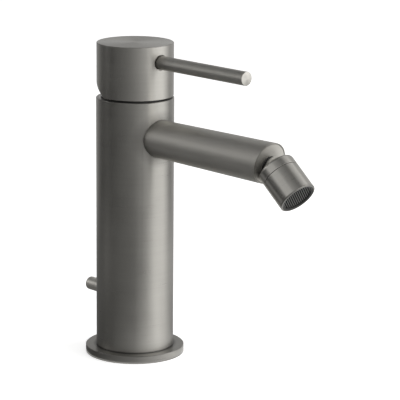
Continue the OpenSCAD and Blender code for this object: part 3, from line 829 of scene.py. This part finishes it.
def camera_matrix():
    """Place and turn of the camera."""
    cos_p, sin_p = math.cos(CAMERA_PITCH), math.sin(CAMERA_PITCH)
    cos_y, sin_y = math.cos(CAMERA_YAW), math.sin(CAMERA_YAW)
    ahead = Vector((-sin_y * cos_p, cos_y * cos_p, -sin_p))
    level = Vector((cos_y, sin_y, 0.0))
    upright = level.cross(ahead)
    cos_r, sin_r = math.cos(CAMERA_ROLL), math.sin(CAMERA_ROLL)
    right = level * cos_r + upright * sin_r
    up = upright * cos_r - level * sin_r
    turn = Matrix((right, up, -ahead)).transposed().to_4x4()
    return Matrix.Translation(Vector(CAMERA_PLACE)) @ turn


def heading(degrees):
    """A level direction, turned from the camera's side to the right by so many degrees."""
    start = math.atan2(CAMERA_PLACE[1], CAMERA_PLACE[0])
    angle = start + math.radians(degrees)
    return Vector((math.cos(angle), math.sin(angle), 0.0))


def glow(name):
    """A studio card's plain glow, stronger or weaker along it by the card's own attribute."""
    material = bpy.data.materials.new(name)
    material.use_nodes = True
    tree = material.node_tree
    tree.nodes.clear()
    level = tree.nodes.new("ShaderNodeAttribute")
    level.attribute_name = CARD_LEVEL
    emission = tree.nodes.new("ShaderNodeEmission")
    emission.inputs["Color"].default_value = CARD_COLOUR
    output = tree.nodes.new("ShaderNodeOutputMaterial")
    tree.links.new(level.outputs["Fac"], emission.inputs["Strength"])
    tree.links.new(emission.outputs[0], output.inputs["Surface"])
    return material


def card(name, profile, levels, material, steps):
    """A ring of card round the object, on a profile of (distance, height).

    The levels are its light at headings spaced evenly from -180 degrees on.
    """
    bm = bmesh.new()
    tone = bm.verts.layers.float.new(CARD_LEVEL)
    first = heading(-180.0)
    verts = [bm.verts.new((first.x * d, first.y * d, h)) for d, h in profile]
    edges = [bm.edges.new(pair) for pair in zip(verts, verts[1:])]
    bmesh.ops.spin(bm, geom=verts + edges, cent=(0, 0, 0), axis=(0, 0, 1), angle=2 * math.pi,
                   steps=steps, use_merge=True, use_duplicate=False)
    ahead = heading(0.0)
    for vert in bm.verts:
        turn = math.atan2(ahead.cross(vert.co).z, ahead.dot(vert.co)) / (2 * math.pi) + 0.5
        spot = turn % 1.0 * len(levels)
        before = int(spot)
        after = (before + 1) % len(levels)
        vert[tone] = levels[before] + (levels[after] - levels[before]) * (spot - before)
    mesh = bpy.data.meshes.new(name)
    bm.to_mesh(mesh)
    bm.free()
    mesh.materials.append(material)
    made = bpy.data.objects.new(name, mesh)
    bpy.context.scene.collection.objects.link(made)
    made.visible_camera = False
    made.visible_diffuse = False
    made.visible_shadow = False
    made.visible_transmission = False


# The cards seen in the metal: name, profile of (distance, height), and light at even headings
CARDS = (
    ("floor_foot", ((0.0295, 0.0006), (0.075, 0.002)), (0.28, 0.12, 0.14, 0.45, 1.60, 0.45)),
    ("floor_inner", ((0.075, 0.002), (0.15, 0.002)),
     (0.60, 0.10, 0.16, 0.10, 0.13, 0.19, 0.20, 0.45, 1.42, 1.26, 0.58, 0.40)),
    ("floor_middle", ((0.15, 0.002), (0.33, 0.002)),
     (0.47, 0.19, 0.17, 0.32, 0.24, 0.22, 0.14, 0.55, 1.50, 1.50, 0.88, 0.48)),
    ("floor_outer", ((0.33, 0.002), (1.4, 0.002)),
     (0.43, 0.42, 0.13, 0.00, 0.02, 0.14, 0.15, 0.06, 0.95, 1.37, 0.26, 0.54)),
    ("wall_low", ((1.45, 0.004), (1.45, 0.36)),
     (0.24, 0.12, 0.22, 0.35, 0.25, 0.13, 0.32, 0.06, 0.23, 0.28, 0.34, 0.53,
      0.77, 1.12, 1.59, 2.09, 2.53, 2.61, 2.31, 1.69, 1.18, 0.97, 0.72, 0.52)),
    ("wall_middle", ((1.45, 0.36), (1.45, 0.78)),
     (0.66, 0.31, 0.28, 0.34, 0.52, 0.95, 1.30, 0.92, 0.76, 0.63, 0.60, 0.76,
      1.03, 1.38, 1.82, 2.22, 2.44, 2.38, 2.09, 1.60, 1.05, 0.56, 0.45, 0.74)),
    ("wall_high", ((1.45, 0.78), (1.45, 1.35)),
     (0.59, 0.00, 0.23, 0.70, 0.56, 1.42, 2.32, 1.54, 0.22)),
    ("ceiling", ((1.4, 1.45), (0.75, 1.68), (0.05, 1.95)), (0.00, 0.02, 0.37, 0.24, 0.07, 0.94)),
)


def softbox(name, direction, distance, height, width, tall, power):
    """A rectangular area lamp that faces the object's middle."""
    lamp = bpy.data.lights.new(name, "AREA")
    lamp.shape = "RECTANGLE"
    lamp.size = width
    lamp.size_y = tall
    lamp.energy = power
    made = bpy.data.objects.new(name, lamp)
    place = direction * distance + Vector((0.0, 0.0, height))
    look = (OBJECT_MIDDLE - place).to_track_quat("-Z", "Y")
    made.matrix_world = Matrix.Translation(place) @ look.to_matrix().to_4x4()
    made.visible_glossy = False
    bpy.context.scene.collection.objects.link(made)


def seen_ray(tree):
    """1 for camera, glossy and transmission rays, 0 for the rest."""
    path = tree.nodes.new("ShaderNodeLightPath")
    total = path.outputs["Is Camera Ray"]
    for name in ("Is Glossy Ray", "Is Transmission Ray"):
        node = tree.nodes.new("ShaderNodeMath")
        node.operation = "MAXIMUM"
        tree.links.new(total, node.inputs[0])
        tree.links.new(path.outputs[name], node.inputs[1])
        total = node.outputs[0]
    return total


class SetStage(bpy.types.Operator):
    """Lays the pale floor and sets up the room light, the softboxes, the cards and the camera"""

    bl_idname = "mixer.set_stage"
    bl_label = "Studio"

    def execute(self, context):
        studio = settings()[2]
        scene = context.scene
        scene.view_settings.view_transform = "Standard"
        self.set_room(scene, studio)
        self.lay_floor(studio)
        softbox("key_softbox", heading(77.0), distance=0.95, height=0.42, width=1.2, tall=0.9,
                power=studio.key)
        softbox("top_softbox", heading(150.0), distance=0.35, height=1.15, width=0.9, tall=0.9,
                power=studio.top)
        material = glow("card_glow")
        for name, profile, levels in CARDS:
            card(name, profile, levels, material, studio.steps)
        self.place_camera(scene, studio)
        return {"FINISHED"}

    @staticmethod
    def set_room(scene, studio):
        """Soft light from all around, and plain white where the room itself is seen."""
        world = bpy.data.worlds.new("studio_room")
        scene.world = world
        world.use_nodes = True
        tree = world.node_tree
        back = tree.nodes["Background"]
        back.inputs["Color"].default_value = (1.0, 1.0, 1.0, 1.0)
        blend = tree.nodes.new("ShaderNodeMapRange")
        blend.inputs["To Min"].default_value = studio.room
        blend.inputs["To Max"].default_value = 1.0
        tree.links.new(seen_ray(tree), blend.inputs["Value"])
        tree.links.new(blend.outputs["Result"], back.inputs["Strength"])

    @staticmethod
    def lay_floor(studio):
        """A round pale floor that keeps the object's shadow."""
        sheet = Sheet("pale_floor")
        cloud = sheet.noise(sheet.where(), 6.0)
        tone = sheet.tint(studio.floor, sheet.vary(cloud, 1.0, 0.005))
        white = sheet.math("MULTIPLY", seen_ray(sheet.tree), studio.floor_glow)
        material = sheet.finish(Base_Color=tone, Roughness=0.85, Emission_Color=(1.0, 1.0, 1.0, 1.0),
                                Emission_Strength=white)
        sheet.shader.inputs["Specular IOR Level"].default_value = 0.1
        bm = bmesh.new()
        bmesh.ops.create_circle(bm, cap_ends=True, radius=5.0, segments=96)
        mesh = bpy.data.meshes.new("floor")
        bm.to_mesh(mesh)
        bm.free()
        mesh.materials.append(material)
        floor = bpy.data.objects.new("floor", mesh)
        bpy.context.scene.collection.objects.link(floor)

    @staticmethod
    def place_camera(scene, studio):
        """The photograph's camera."""
        lens = bpy.data.cameras.new("camera")
        lens.sensor_fit = "HORIZONTAL"
        lens.sensor_width = 36.0
        lens.lens = studio.lens
        lens.clip_start = 0.05
        lens.clip_end = 50.0
        camera = bpy.data.objects.new("camera", lens)
        camera.matrix_world = camera_matrix()
        scene.collection.objects.link(camera)
        scene.camera = camera


class MixerPanel(bpy.types.Panel):
    """Lists the settings and the steps that build the mixer's looks"""

    bl_idname = "VIEW3D_PT_mixer"
    bl_label = "Bidet mixer"
    bl_space_type = "VIEW_3D"
    bl_region_type = "UI"
    bl_category = "Mixer"

    def draw(self, context):
        layout = self.layout
        for group in settings():
            box = layout.box()
            for key in group.bl_rna.properties.keys():
                if key not in ("rna_type", "name"):
                    box.prop(group, key)
        for step in STEPS:
            layout.operator(step.bl_idname)


GROUPS = (
    ("mixer_sizes", MixerSizes),
    ("mixer_finish", MixerFinish),
    ("mixer_studio", StudioSettings),
)
STEPS = (
    SetStage, DressColumn, DressSpout, DressInside, AddLever, AddKnob, AddScrewCover,
    AddNeckRing, AddCollar, AddHousing, AddInsert,
)


def register():
    for _, group in GROUPS:
        bpy.utils.register_class(group)
    for step in STEPS:
        bpy.utils.register_class(step)
    bpy.utils.register_class(MixerPanel)
    for name, group in GROUPS:
        setattr(bpy.types.Scene, name, PointerProperty(type=group))


def unregister():
    for name, _ in GROUPS:
        delattr(bpy.types.Scene, name)
    bpy.utils.unregister_class(MixerPanel)
    for step in reversed(STEPS):
        bpy.utils.unregister_class(step)
    for _, group in reversed(GROUPS):
        bpy.utils.unregister_class(group)


def main():
    register()
    for step in STEPS:
        space, _, name = step.bl_idname.partition(".")
        getattr(getattr(bpy.ops, space), name)()


if __name__ == "__main__":
    main()
